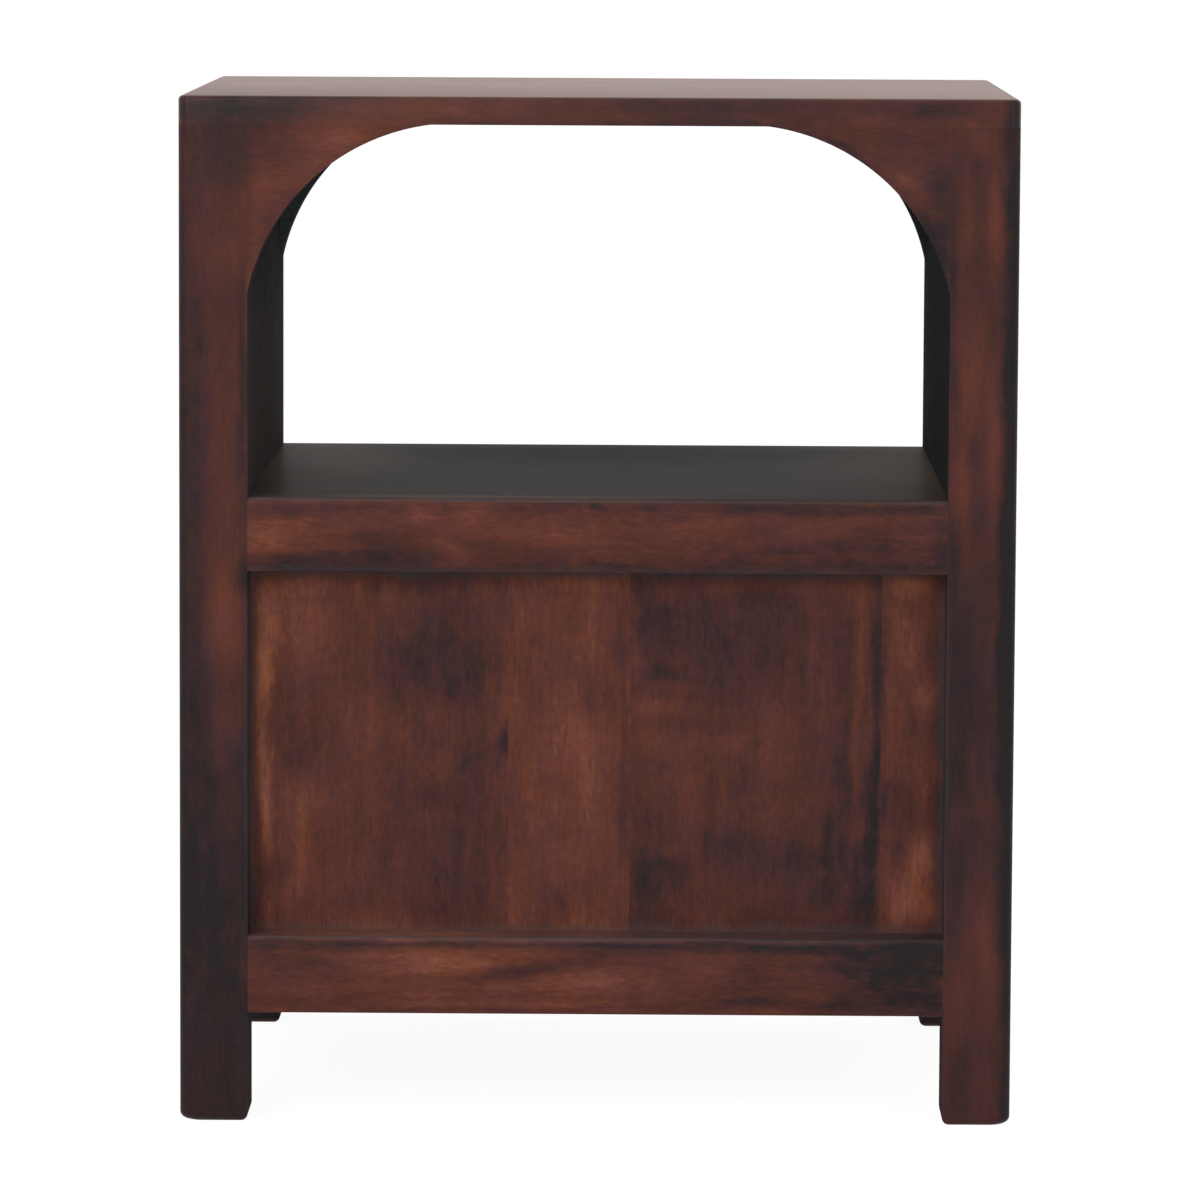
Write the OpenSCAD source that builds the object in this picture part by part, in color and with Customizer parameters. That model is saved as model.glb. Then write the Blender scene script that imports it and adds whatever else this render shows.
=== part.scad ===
// Nightstand with an arched open shelf over two drawers.
// Four square legs carry tenoned rails, panels held in grooves, and one flush top board.
// X runs across the width, the drawers open towards -Y, and Z is up from the floor.
// The origin is on the floor, under the middle of the whole object with its knobs.

/* [Overall] */
// Width over the legs
width = 450; // [400:5:600]
// Depth from the legs' front faces to their rear faces
depth = 350; // [300:5:450]
// Height of the top surface above the floor
height = 555; // [520:5:700]

/* [Legs and rails] */
// Side of the square legs, and the depth of every rail
leg_w = 37; // [32:1:50]
// Radius of the outer corners of the legs and the top board
corner_r = 6; // [3:0.5:10]
// Radius round the bottom of each foot
foot_r = 5; // [1:0.5:8]
// Gap between the floor and the lowest rails
foot_clear = 60; // [30:5:120]
// Height of the lowest rails
bottom_rail_h = 42; // [36:1:60]
// Height of the front and rear rails level with the shelf
mid_rail_h = 40; // [30:1:50]
// Height of the side rails under the top board
top_rail_h = 30; // [24:1:40]
// Height of the rail between the drawers
divider_h = 20; // [16:1:30]
// Radius of the upper edges of the rails level with the shelf
rail_edge_r = 4; // [1:0.5:6]
// Radius of the rear bottom rail's upper edge
ledge_edge_r = 2; // [1:0.5:4]

/* [Top and shelf] */
// Thickness of the top board
top_t = 15; // [12:1:25]
// Radius round the top board's upper edges
top_edge_r = 2; // [0.5:0.5:5]
// Height of the open shelf's surface above the floor
shelf_z = 340; // [300:5:400]
// Thickness of the shelf board
shelf_t = 18; // [12:1:24]
// Thickness of the floor board under the lower drawer
floor_t = 12; // [6:1:18]

/* [Arch] */
// How far each arch bracket reaches along the top board
bracket_w = 98; // [80:1:106]
// How far each arch bracket reaches down its leg
bracket_h = 90; // [80:1:106]
// Radius of the bracket's curve
arch_r = 115; // [105:1:180]

/* [Panels] */
// Thickness of the back and side panels
panel_t = 15; // [10:1:20]
// Thickness of the tongue round a panel
tongue_t = 5; // [3:0.5:7]
// Width of the narrow stave at the back panel's left end
narrow_stave_w = 34; // [20:1:60]
// Width of the wide stave beside it
wide_stave_w = 136; // [80:1:160]
// Width of the stave right of the middle
middle_stave_w = 66; // [40:1:90]

/* [Joints] */
// Thickness of the rails' tenons
tenon_t = 10; // [6:1:14]
// Shoulder above and below a tenon
shoulder = 4; // [2:0.5:6]
// Wood left between two tenons that meet in a leg
tenon_web = 1.5; // [1:0.5:4]
// Clearance round tenons, tongues and dowels
fit_gap = 0.2; // [0.1:0.05:0.4]
// Diameter of the dowels
dowel_d = 8; // [6:1:10]
// How far a dowel goes into a leg or a bracket
dowel_in = 12; // [8:1:16]
// How far a dowel goes into the top board
dowel_up = 9; // [6:1:10]
// Distance of a bracket's side dowel below the top board
side_dowel_drop = 25; // [16:1:32]
// Distance of a bracket's upper dowel from the leg
top_dowel_out = 45; // [30:1:52]

/* [Runners] */
// Width of the runners, shelf bearers and floor cleats
strip_w = 20; // [14:1:26]
// Height of the cleats under the floor board
cleat_h = 15; // [12:1:20]
// Distance of a strip's screws from its ends
screw_inset = 50; // [20:5:100]
// Diameter of the screws' shanks
screw_d = 4; // [3:0.5:5]
// Diameter of the screws' countersunk heads
screw_head_d = 8; // [6:0.5:10]
// How far a screw goes into the panel or rail behind a strip
screw_bite = 10; // [5:1:12]

/* [Drawers] */
// Gap round each drawer front
front_gap = 1.5; // [1:0.25:3]
// Distance of the drawer fronts behind the legs' front faces
front_setback = 1; // [0:0.5:5]
// Thickness of the drawer fronts
front_t = 18; // [16:1:24]
// Thickness of the drawers' sides and backs
side_t = 12; // [9:1:15]
// Running gap under the drawers
run_gap = 0.5; // [0.3:0.1:1]
// Gap above the drawers' sides
above_gap = 4; // [2:0.5:8]
// Gap between a closed drawer and the back panel
rear_gap = 8; // [3:1:30]
// Thickness of the drawers' bottoms
bottom_t = 6; // [4:0.5:9]
// Height of a drawer's bottom above the lower edge of its sides
bottom_up = 10; // [7:0.5:14]
// Depth of the grooves and housings in the drawers' boards
groove_in = 4; // [2:0.5:6]
// Length of the dovetails that hold the sides in the fronts
tail_l = 10; // [6:1:13]
// Height of a dovetail at its wide end
tail_h = 16; // [10:1:20]
// Slope of the dovetails, as a share of their length
tail_slope = 0.17; // [0.1:0.01:0.2]
// Height of the stop blocks behind the drawer fronts
stop_h = 6; // [3:0.5:6.5]
// Thickness of the stop blocks along the drawer's travel
stop_t = 12; // [8:1:14]
// Length of the stop blocks across the drawer
stop_l = 30; // [20:1:50]
// Distance between the middles of a drawer's two stop blocks
stop_pitch = 240; // [120:5:260]

/* [Knobs] */
// Diameter of the knobs' heads
knob_d = 32; // [26:1:40]
// Length of a knob from the drawer front to its tip
knob_l = 26; // [22:1:34]
// Diameter of the knobs' feet
knob_foot_d = 20; // [16:1:24]
// Thickness of the rounded rim of the knobs' heads
knob_rim_t = 12; // [8:1:13]
// Radius of the hollow round the knobs' necks
neck_r = 8; // [6:0.5:12]
// Radius of the knobs' domed ends
dome_r = 40; // [30:1:80]
// Diameter of the knob bolts
bolt_d = 4; // [3:0.5:5]
// Diameter of the knob bolts' heads
bolt_head_d = 9; // [7:0.5:11]
// Thickness of the knob bolts' heads
bolt_head_t = 3; // [2:0.5:4]
// How far a bolt goes into its knob
bolt_in = 13; // [8:1:16]

/* [Hidden] */
$fn = 48;

// Sides and faces of the frame, as signs along X and Y
left = -1;
right = 1;
front = -1;
rear = 1;

// Places of the main faces
rear_y = (depth - front_setback + knob_l) / 2;
front_y = rear_y - depth;
leg_h = height - top_t;
inner_x = width / 2 - leg_w;
inner_front_y = front_y + leg_w;
inner_rear_y = rear_y - leg_w;
base_z = foot_clear + bottom_rail_h;
case_z = shelf_z - mid_rail_h;
side_z = leg_h - top_rail_h;
opening_h = (case_z - base_z - divider_h) / 2;
divider_z = base_z + opening_h;
// Floors of the lower and upper drawers' openings
drawer_z = [base_z, divider_z + divider_h];
// Middle heights of the strips along the sides
cleat_mid_z = base_z - floor_t - cleat_h / 2;
runner_mid_z = divider_z + divider_h / 2;
bearer_mid_z = (case_z + shelf_z - shelf_t) / 2;

// Two tenons that cross in a leg leave the web between them
tenon_l = leg_w / 2 - tenon_t / 2 - tenon_web;
// Two panel tongues that meet in a leg stop at each other's faces
tongue_l = (panel_t - tongue_t) / 2;
// Cuts reach past the faces they open by this much
over = 1;
arris_r = 1;

// Placement of things that are drawn for the front left corner or for the right side

module flip(axis, on) {
    if (on) mirror(axis) children();
    else children();
}

// Leg coordinates run inwards from the outer corner
module at_corner(side, face) {
    translate([side * width / 2, face == rear ? rear_y : front_y, 0])
    flip([1, 0, 0], side == right)
    flip([0, 1, 0], face == rear)
    children();
}

module on_side(side) {
    flip([1, 0, 0], side == left) children();
}

module on_face(face) {
    translate([0, face == rear ? rear_y : front_y, 0])
    flip([0, 1, 0], face == rear)
    children();
}

// A rectangle with its own radius at each corner, counted from the origin's corner round
module eased_rect(w, h, r) {
    corners = [[0, 0], [w, 0], [w, h], [0, h]];
    difference() {
        square([w, h]);
        for (i = [0:3])
            if (r[i] > 0)
                translate(corners[i])
                rotate(90 * i)
                difference() {
                    translate([-over, -over]) square(r[i] + over);
                    translate([r[i], r[i]]) circle(r[i]);
                }
    }
}

// A bar along X, from x0 to x1, whose section is given in Y and Z
module bar_x(x0, x1) {
    translate([x0, 0, 0]) rotate([90, 0, 90]) linear_extrude(x1 - x0) children();
}

// A bar along Y, from y0 to y1, whose section is given in X and Z
module bar_y(y0, y1) {
    translate([0, y1, 0]) rotate([90, 0, 0]) linear_extrude(y1 - y0) children();
}

module block(x, y, z) {
    translate([x[0], y[0], z[0]]) cube([x[1] - x[0], y[1] - y[0], z[1] - z[0]]);
}

// Legs

module tenon_hole_x(z, h) {
    block([leg_w - tenon_l - fit_gap, leg_w + over],
          [(leg_w - tenon_t) / 2 - fit_gap, (leg_w + tenon_t) / 2 + fit_gap],
          [z + shoulder - fit_gap, z + h - shoulder + fit_gap]);
}

module tenon_hole_y(z, h) {
    block([(leg_w - tenon_t) / 2 - fit_gap, (leg_w + tenon_t) / 2 + fit_gap],
          [leg_w - tenon_l - fit_gap, leg_w + over],
          [z + shoulder - fit_gap, z + h - shoulder + fit_gap]);
}

// Distances of a panel's tongue from the outer face of the frame
tongue_near = leg_w - (panel_t + tongue_t) / 2 - fit_gap;
tongue_far = leg_w - (panel_t - tongue_t) / 2 + fit_gap;

module leg_blank() {
    intersection() {
        linear_extrude(leg_h) eased_rect(leg_w, leg_w, [corner_r, arris_r, arris_r, arris_r]);
        bar_x(0, leg_w) eased_rect(leg_w, leg_h, [foot_r, foot_r, 0, 0]);
        bar_y(0, leg_w) eased_rect(leg_w, leg_h, [foot_r, foot_r, 0, 0]);
    }
}

module leg(side, face) {
    color([0.29, 0.13, 0.09])
    at_corner(side, face)
    difference() {
        leg_blank();
        tenon_hole_x(foot_clear, bottom_rail_h);
        tenon_hole_x(case_z, mid_rail_h);
        if (face == front) tenon_hole_x(divider_z, divider_h);
        tenon_hole_y(foot_clear, bottom_rail_h);
        tenon_hole_y(side_z, top_rail_h);
        block([tongue_near, tongue_far], [leg_w - tongue_l - fit_gap, leg_w + over], [base_z, side_z]);
        if (face == rear)
            block([leg_w - tongue_l - fit_gap, leg_w + over], [tongue_near, tongue_far], [base_z, case_z]);
        side_dowel(fit_gap / 2, 0);
        leg_top_dowel(fit_gap / 2, 0);
    }
}

// Dowels, as pegs or, made wider and longer, as the holes for them

module side_dowel(wider, inset) {
    translate([leg_w, leg_w / 2, leg_h - side_dowel_drop])
    rotate([0, 90, 0])
    translate([0, 0, inset - dowel_in])
    cylinder(h = 2 * (dowel_in - inset), d = dowel_d + 2 * wider);
}

module leg_top_dowel(wider, inset) {
    translate([leg_w / 2, leg_w / 2, leg_h + inset - dowel_in])
    cylinder(h = dowel_in + dowel_up - 2 * inset, d = dowel_d + 2 * wider);
}

module bracket_top_dowel(wider, inset) {
    translate([leg_w + top_dowel_out, leg_w / 2, leg_h + inset - dowel_in])
    cylinder(h = dowel_in + dowel_up - 2 * inset, d = dowel_d + 2 * wider);
}

module frame_dowels() {
    color([0.80, 0.65, 0.45])
    for (side = [left, right], face = [front, rear])
        at_corner(side, face) {
            side_dowel(0, fit_gap);
            leg_top_dowel(0, fit_gap);
            bracket_top_dowel(0, fit_gap);
        }
}

// Arch brackets

// The curve's centre, square to the chord between the bracket's two tips
chord = norm([bracket_w, bracket_h]);
arch_off = sqrt(arch_r * arch_r - chord * chord / 4);
arch_x = leg_w + bracket_w / 2 + arch_off * bracket_h / chord;
arch_z = leg_h - bracket_h / 2 - arch_off * bracket_w / chord;

module arch_bracket(side, face) {
    color([0.31, 0.14, 0.09])
    at_corner(side, face)
    difference() {
        bar_y(0, leg_w)
        difference() {
            translate([leg_w, leg_h - bracket_h]) square([bracket_w, bracket_h]);
            translate([arch_x, arch_z]) circle(arch_r, $fn = 96);
        }
        side_dowel(fit_gap / 2, 0);
        bracket_top_dowel(fit_gap / 2, 0);
    }
}

// Top board

module top_board() {
    color([0.36, 0.20, 0.14])
    difference() {
        intersection() {
            translate([-width / 2, front_y, leg_h])
            linear_extrude(top_t)
            eased_rect(width, depth, [corner_r, corner_r, corner_r, corner_r]);
            bar_x(-width / 2, width / 2)
            translate([front_y, leg_h])
            eased_rect(depth, top_t, [arris_r, arris_r, top_edge_r, top_edge_r]);
            bar_y(front_y, rear_y)
            translate([-width / 2, leg_h])
            eased_rect(width, top_t, [arris_r, arris_r, top_edge_r, top_edge_r]);
        }
        for (side = [left, right], face = [front, rear])
            at_corner(side, face) {
                leg_top_dowel(fit_gap / 2, 0);
                bracket_top_dowel(fit_gap / 2, 0);
            }
    }
}

// Rails

// A front or rear rail between the legs, drawn from its outer face inwards
module cross_rail(z, h, edge) {
    bar_x(-inner_x, inner_x) translate([0, z]) eased_rect(leg_w, h, [arris_r, 0, 0, edge]);
    block([-inner_x - tenon_l, inner_x + tenon_l],
          [(leg_w - tenon_t) / 2, (leg_w + tenon_t) / 2],
          [z + shoulder, z + h - shoulder]);
}

// The groove along a rail's edge that takes the back panel
module back_groove(z) {
    block([-inner_x - over, inner_x + over], [tongue_near, tongue_far],
          [z - tongue_l - fit_gap, z + tongue_l + fit_gap]);
}

// The shelf board's tongue is a third as thick as the board, and as long as it is thick
shelf_tongue_t = shelf_t / 3;
shelf_tongue_l = shelf_tongue_t;

module mid_rail(face) {
    color([0.33, 0.15, 0.09])
    on_face(face)
    difference() {
        cross_rail(case_z, mid_rail_h, rail_edge_r);
        if (face == rear) back_groove(case_z);
        block([-inner_x - over, inner_x + over],
              [leg_w - shelf_tongue_l - fit_gap, leg_w + over],
              [shelf_z - (shelf_t + shelf_tongue_t) / 2 - fit_gap,
               shelf_z - (shelf_t - shelf_tongue_t) / 2 + fit_gap]);
    }
}

module bottom_rail(face) {
    color([0.32, 0.14, 0.09])
    on_face(face)
    difference() {
        cross_rail(foot_clear, bottom_rail_h, face == rear ? ledge_edge_r : arris_r);
        if (face == rear) back_groove(base_z);
    }
}

module divider_rail() {
    color([0.32, 0.14, 0.09])
    on_face(front)
    cross_rail(divider_z, divider_h, arris_r);
}

// A side rail between the front and rear legs
module side_rail(z, h) {
    block([inner_x, inner_x + leg_w], [inner_front_y, inner_rear_y], [z, z + h]);
    block([inner_x + (leg_w - tenon_t) / 2, inner_x + (leg_w + tenon_t) / 2],
          [inner_front_y - tenon_l, inner_rear_y + tenon_l],
          [z + shoulder, z + h - shoulder]);
}

// The groove along a side rail's edge that takes the side panel
module side_groove(z) {
    block([width / 2 - tongue_far, width / 2 - tongue_near],
          [inner_front_y - over, inner_rear_y + over],
          [z - tongue_l - fit_gap, z + tongue_l + fit_gap]);
}

module bottom_side_rail(side) {
    color([0.30, 0.13, 0.09])
    on_side(side)
    difference() {
        side_rail(foot_clear, bottom_rail_h);
        side_groove(base_z);
        strip_screw_holes(cleat_mid_z);
    }
}

module top_side_rail(side) {
    color([0.30, 0.13, 0.09])
    on_side(side)
    difference() {
        side_rail(side_z, top_rail_h);
        side_groove(side_z);
    }
}

// Panels

module side_panel(side) {
    color([0.31, 0.14, 0.09])
    on_side(side)
    difference() {
        union() {
            block([inner_x, inner_x + panel_t], [inner_front_y, inner_rear_y], [base_z, side_z]);
            block([inner_x + (panel_t - tongue_t) / 2, inner_x + (panel_t + tongue_t) / 2],
                  [inner_front_y - tongue_l, inner_rear_y + tongue_l], [base_z, side_z]);
            block([inner_x + (panel_t - tongue_t) / 2, inner_x + (panel_t + tongue_t) / 2],
                  [inner_front_y, inner_rear_y], [base_z - tongue_l, side_z + tongue_l]);
        }
        strip_screw_holes(runner_mid_z);
        strip_screw_holes(bearer_mid_z);
    }
}

// Left edges of the back panel's staves, and the right edge of the last one
stave_x = [
    -inner_x,
    -inner_x + narrow_stave_w,
    -inner_x + narrow_stave_w + wide_stave_w,
    -inner_x + narrow_stave_w + wide_stave_w + middle_stave_w,
    inner_x
];

module back_stave(i) {
    x = [stave_x[i], stave_x[i + 1]];
    tongue_y = [(leg_w - panel_t / 2) - tongue_t / 2, (leg_w - panel_t / 2) + tongue_t / 2];
    color([0.36, 0.16, 0.09])
    on_face(rear) {
        block(x, [leg_w - panel_t, leg_w], [base_z, case_z]);
        block(x, tongue_y, [base_z - tongue_l, case_z + tongue_l]);
        if (i == 0) block([x[0] - tongue_l, x[1]], tongue_y, [base_z, case_z]);
        if (i == 3) block([x[0], x[1] + tongue_l], tongue_y, [base_z, case_z]);
    }
}

// Shelf and floor boards

module shelf_board() {
    z = [shelf_z - (shelf_t + shelf_tongue_t) / 2, shelf_z - (shelf_t - shelf_tongue_t) / 2];
    color([0.30, 0.15, 0.11]) {
        block([-inner_x, inner_x], [inner_front_y, inner_rear_y], [shelf_z - shelf_t, shelf_z]);
        block([-inner_x, inner_x],
              [inner_front_y - shelf_tongue_l, inner_rear_y + shelf_tongue_l], z);
    }
}

module floor_board() {
    color([0.52, 0.33, 0.20])
    block([-inner_x, inner_x], [inner_front_y, inner_rear_y], [base_z - floor_t, base_z]);
}

// Strips along the sides, screwed from inside the case

// Screws run outwards along X from the strip's inner face, at the strip's mid height
module strip_screw_places(z) {
    for (y = [inner_front_y + screw_inset, inner_rear_y - screw_inset])
        translate([inner_x - strip_w, y, z]) rotate([0, 90, 0]) children();
}

module strip_screw(wider, longer) {
    head_h = (screw_head_d - screw_d) / 2;
    cylinder(h = head_h, d1 = screw_head_d + 2 * wider, d2 = screw_d + 2 * wider);
    cylinder(h = strip_w + screw_bite + longer, d = screw_d + 2 * wider);
}

module strip_screw_holes(z) {
    strip_screw_places(z) strip_screw(fit_gap / 2, fit_gap);
}

module strip(side, z0, z1) {
    on_side(side)
    difference() {
        block([inner_x - strip_w, inner_x], [inner_front_y, inner_rear_y], [z0, z1]);
        strip_screw_holes((z0 + z1) / 2);
    }
}

module runner(side) {
    color([0.62, 0.43, 0.27]) strip(side, divider_z, divider_z + divider_h);
}

module shelf_bearer(side) {
    color([0.62, 0.43, 0.27]) strip(side, case_z, shelf_z - shelf_t);
}

module floor_cleat(side) {
    color([0.62, 0.43, 0.27]) strip(side, base_z - floor_t - cleat_h, base_z - floor_t);
}

module strip_screws() {
    color([0.72, 0.70, 0.66])
    for (side = [left, right])
        on_side(side)
        for (z = [cleat_mid_z, runner_mid_z, bearer_mid_z])
            strip_screw_places(z) strip_screw(0, 0);
}

// Blocks on the rails that stop the closed drawers
module drawer_stops() {
    y = front_y + front_setback + front_t + fit_gap;
    color([0.62, 0.43, 0.27])
    for (z = drawer_z, side = [left, right])
        block([side * stop_pitch / 2 - stop_l / 2, side * stop_pitch / 2 + stop_l / 2],
              [y, y + stop_t], [z, z + stop_h]);
}

// Drawers, each given by the height of its opening's floor

// Half width of a drawer, and the faces along its depth
drawer_x = inner_x - front_gap;
drawer_in_x = drawer_x - side_t;
face_y = front_y + front_setback;
box_y = face_y + front_t;
drawer_end_y = inner_rear_y - rear_gap;
side_h = opening_h - run_gap - above_gap;
bottom_z = run_gap + bottom_up;
tail_pitch = side_h / 3;

// One dovetail of a drawer side, seen along X, made bigger all round for its socket
module tail(z, bigger) {
    root = tail_h / 2 - tail_l * tail_slope + bigger;
    tip = tail_h / 2 + bigger;
    polygon([
        [box_y + over, z - root], [box_y + over, z + root],
        [box_y - tail_l - bigger, z + tip], [box_y - tail_l - bigger, z - tip]
    ]);
}

module tails(z0, bigger) {
    for (i = [0:2]) tail(z0 + run_gap + tail_pitch * (i + 0.5), bigger);
}

module drawer_front(z0) {
    z = [z0 + front_gap, z0 + opening_h - front_gap];
    color([0.36, 0.16, 0.09])
    difference() {
        intersection() {
            translate([-drawer_x, face_y, z[0]])
            linear_extrude(z[1] - z[0])
            eased_rect(2 * drawer_x, front_t, [arris_r, arris_r, 0, 0]);
            bar_x(-drawer_x, drawer_x)
            translate([face_y, z[0]])
            eased_rect(front_t, z[1] - z[0], [arris_r, 0, 0, arris_r]);
        }
        for (side = [left, right])
            on_side(side)
            bar_x(drawer_in_x - fit_gap, drawer_x + over) tails(z0, fit_gap);
        block([-drawer_in_x, drawer_in_x], [box_y - groove_in - fit_gap, box_y + over],
              [z0 + bottom_z - fit_gap, z0 + bottom_z + bottom_t + fit_gap]);
        knob_place(z0) {
            translate([0, 0, -front_t - over]) cylinder(h = front_t + 2 * over, d = bolt_d + 2 * fit_gap);
            translate([0, 0, -front_t - over])
            cylinder(h = bolt_head_t + fit_gap + over, d = bolt_head_d + 2 * fit_gap);
        }
    }
}

module drawer_side(z0, side) {
    z = [z0 + run_gap, z0 + run_gap + side_h];
    color([0.62, 0.43, 0.27])
    on_side(side)
    difference() {
        union() {
            block([drawer_in_x, drawer_x], [box_y, drawer_end_y], z);
            intersection() {
                bar_x(drawer_in_x, drawer_x) tails(z0, 0);
                block([drawer_in_x, drawer_x], [box_y - tail_l, box_y + over], z);
            }
        }
        block([drawer_in_x - over, drawer_in_x + groove_in + fit_gap], [box_y, drawer_end_y + over],
              [z0 + bottom_z - fit_gap, z0 + bottom_z + bottom_t + fit_gap]);
        block([drawer_in_x - over, drawer_in_x + groove_in + fit_gap],
              [drawer_end_y - side_t - fit_gap, drawer_end_y + over],
              [z0 + bottom_z + bottom_t - fit_gap, z[1] + over]);
    }
}

module drawer_back(z0) {
    color([0.62, 0.43, 0.27])
    block([-drawer_in_x - groove_in, drawer_in_x + groove_in],
          [drawer_end_y - side_t, drawer_end_y],
          [z0 + bottom_z + bottom_t, z0 + run_gap + side_h]);
}

module drawer_bottom(z0) {
    z = [z0 + bottom_z, z0 + bottom_z + bottom_t];
    color([0.70, 0.52, 0.35]) {
        block([-drawer_in_x - groove_in, drawer_in_x + groove_in], [box_y + fit_gap, drawer_end_y], z);
        block([-drawer_in_x + fit_gap, drawer_in_x - fit_gap], [box_y - groove_in, drawer_end_y], z);
    }
}

// Knobs, turned round an axis that leaves the drawer front along -Y

module knob_place(z0) {
    translate([0, face_y, z0 + opening_h / 2]) rotate([90, 0, 0]) children();
}

// Half section, with the radius along X and the distance from the drawer front along Y
module knob_section() {
    rim_y = knob_l - knob_rim_t * 0.6;
    foot_h = 3;
    intersection() {
        difference() {
            union() {
                square([knob_foot_d / 2, foot_h]);
                square([knob_foot_d / 2 + neck_r / 4, rim_y]);
                translate([0, rim_y - knob_rim_t / 2]) square([(knob_d - knob_rim_t) / 2, knob_l]);
                translate([(knob_d - knob_rim_t) / 2, rim_y]) circle(knob_rim_t / 2);
            }
            translate([knob_foot_d / 2 + neck_r * 0.6, (foot_h + rim_y - knob_rim_t / 2) / 2])
            circle(neck_r);
        }
        square([knob_d, knob_l]);
        translate([0, knob_l - dome_r]) circle(dome_r, $fn = 96);
    }
}

module knob(z0) {
    color([0.33, 0.15, 0.10])
    knob_place(z0)
    difference() {
        rotate_extrude() knob_section();
        translate([0, 0, -over]) cylinder(h = bolt_in + fit_gap + over, d = bolt_d + fit_gap);
    }
}

module knob_bolt(z0) {
    color([0.72, 0.70, 0.66])
    knob_place(z0) {
        translate([0, 0, -front_t]) cylinder(h = bolt_head_t, d = bolt_head_d);
        translate([0, 0, -front_t]) cylinder(h = front_t + bolt_in, d = bolt_d);
    }
}

top_board();
leg(left, front);  // leg_front_left
leg(right, front);  // leg_front_right
leg(left, rear);  // leg_rear_left
leg(right, rear);  // leg_rear_right
arch_bracket(left, front);  // arch_bracket_front_left
arch_bracket(right, front);  // arch_bracket_front_right
arch_bracket(left, rear);  // arch_bracket_rear_left
arch_bracket(right, rear);  // arch_bracket_rear_right
mid_rail(front);  // mid_rail_front
mid_rail(rear);  // mid_rail_rear
bottom_rail(front);  // bottom_rail_front
bottom_rail(rear);  // bottom_rail_rear
bottom_side_rail(left);  // bottom_rail_left
bottom_side_rail(right);  // bottom_rail_right
top_side_rail(left);  // top_rail_left
top_side_rail(right);  // top_rail_right
divider_rail();
side_panel(left);  // side_panel_left
side_panel(right);  // side_panel_right
back_stave(0);  // back_stave_1
back_stave(1);  // back_stave_2
back_stave(2);  // back_stave_3
back_stave(3);  // back_stave_4
shelf_board();
floor_board();
runner(left);  // runner_left
runner(right);  // runner_right
shelf_bearer(left);  // shelf_bearer_left
shelf_bearer(right);  // shelf_bearer_right
floor_cleat(left);  // floor_cleat_left
floor_cleat(right);  // floor_cleat_right
drawer_stops();
frame_dowels();
strip_screws();
drawer_front(drawer_z[1]);  // upper_drawer_front
drawer_side(drawer_z[1], left);  // upper_drawer_side_left
drawer_side(drawer_z[1], right);  // upper_drawer_side_right
drawer_back(drawer_z[1]);  // upper_drawer_back
drawer_bottom(drawer_z[1]);  // upper_drawer_bottom
knob(drawer_z[1]);  // upper_knob
knob_bolt(drawer_z[1]);  // upper_knob_bolt
drawer_front(drawer_z[0]);  // lower_drawer_front
drawer_side(drawer_z[0], left);  // lower_drawer_side_left
drawer_side(drawer_z[0], right);  // lower_drawer_side_right
drawer_back(drawer_z[0]);  // lower_drawer_back
drawer_bottom(drawer_z[0]);  // lower_drawer_bottom
knob(drawer_z[0]);  // lower_knob
knob_bolt(drawer_z[0]);  // lower_knob_bolt
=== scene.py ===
import math

import bmesh
import bpy
from mathutils import Matrix, Vector


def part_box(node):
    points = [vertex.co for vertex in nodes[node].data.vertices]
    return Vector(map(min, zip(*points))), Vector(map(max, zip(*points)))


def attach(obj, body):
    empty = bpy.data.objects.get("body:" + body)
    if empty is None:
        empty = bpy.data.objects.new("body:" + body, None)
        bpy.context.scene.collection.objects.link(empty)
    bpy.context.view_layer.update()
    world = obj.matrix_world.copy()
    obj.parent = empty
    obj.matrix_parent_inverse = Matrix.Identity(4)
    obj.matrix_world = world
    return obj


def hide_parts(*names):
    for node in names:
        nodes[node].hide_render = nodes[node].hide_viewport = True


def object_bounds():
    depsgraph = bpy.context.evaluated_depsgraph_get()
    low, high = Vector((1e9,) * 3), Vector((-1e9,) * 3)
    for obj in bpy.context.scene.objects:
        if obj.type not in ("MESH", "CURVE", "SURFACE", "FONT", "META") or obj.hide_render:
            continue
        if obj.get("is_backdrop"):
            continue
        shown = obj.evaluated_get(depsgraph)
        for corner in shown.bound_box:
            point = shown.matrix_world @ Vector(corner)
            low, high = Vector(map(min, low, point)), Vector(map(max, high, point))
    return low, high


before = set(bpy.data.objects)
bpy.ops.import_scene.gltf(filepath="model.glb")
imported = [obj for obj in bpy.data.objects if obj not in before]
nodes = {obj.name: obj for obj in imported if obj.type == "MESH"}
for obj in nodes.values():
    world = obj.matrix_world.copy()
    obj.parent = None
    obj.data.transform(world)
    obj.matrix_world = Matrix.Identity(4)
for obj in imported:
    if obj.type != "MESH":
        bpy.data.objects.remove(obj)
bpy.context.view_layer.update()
MM = 0.001


# The four legs are square posts of hardwood, and everything else is jointed into them.
# A plane has rounded each outer corner, and the feet are eased all round so that they don't splinter.
# The stain was rubbed on by hand. The legs are painted darker along their rounded outer corners and at the
# rear right foot, and painted shade runs down their inner edges beside the back panel.

LEG_CORNER = 6 * MM
FOOT_EASING = 5 * MM
ARRIS = 0.8 * MM
TOUCH = 0.01 * MM
# Faces that meet at a steeper angle than this, in degrees, keep a sharp edge between them
CREASE = 32
# How nearly a face has to point one way, 1 being straight, to count as facing that way
FACING = 0.9

# From where the stain is thickest to bare wood that glows through it
STAIN = [
    (0.0, (0.0100, 0.0060, 0.0070)),
    (0.25, (0.0335, 0.0118, 0.0118)),
    (0.5, (0.0655, 0.0188, 0.0142)),
    (0.75, (0.1040, 0.0288, 0.0180)),
    (1.0, (0.1700, 0.0520, 0.0280)),
    (1.25, (0.2700, 0.0920, 0.0500)),
]
LIGHTEST = 1.25
# The stain turns from cool to warm in patches
COOL_TO_WARM = [(0.0, (0.96, 0.98, 1.12)), (1.0, (1.03, 1.01, 0.88))]
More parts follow.
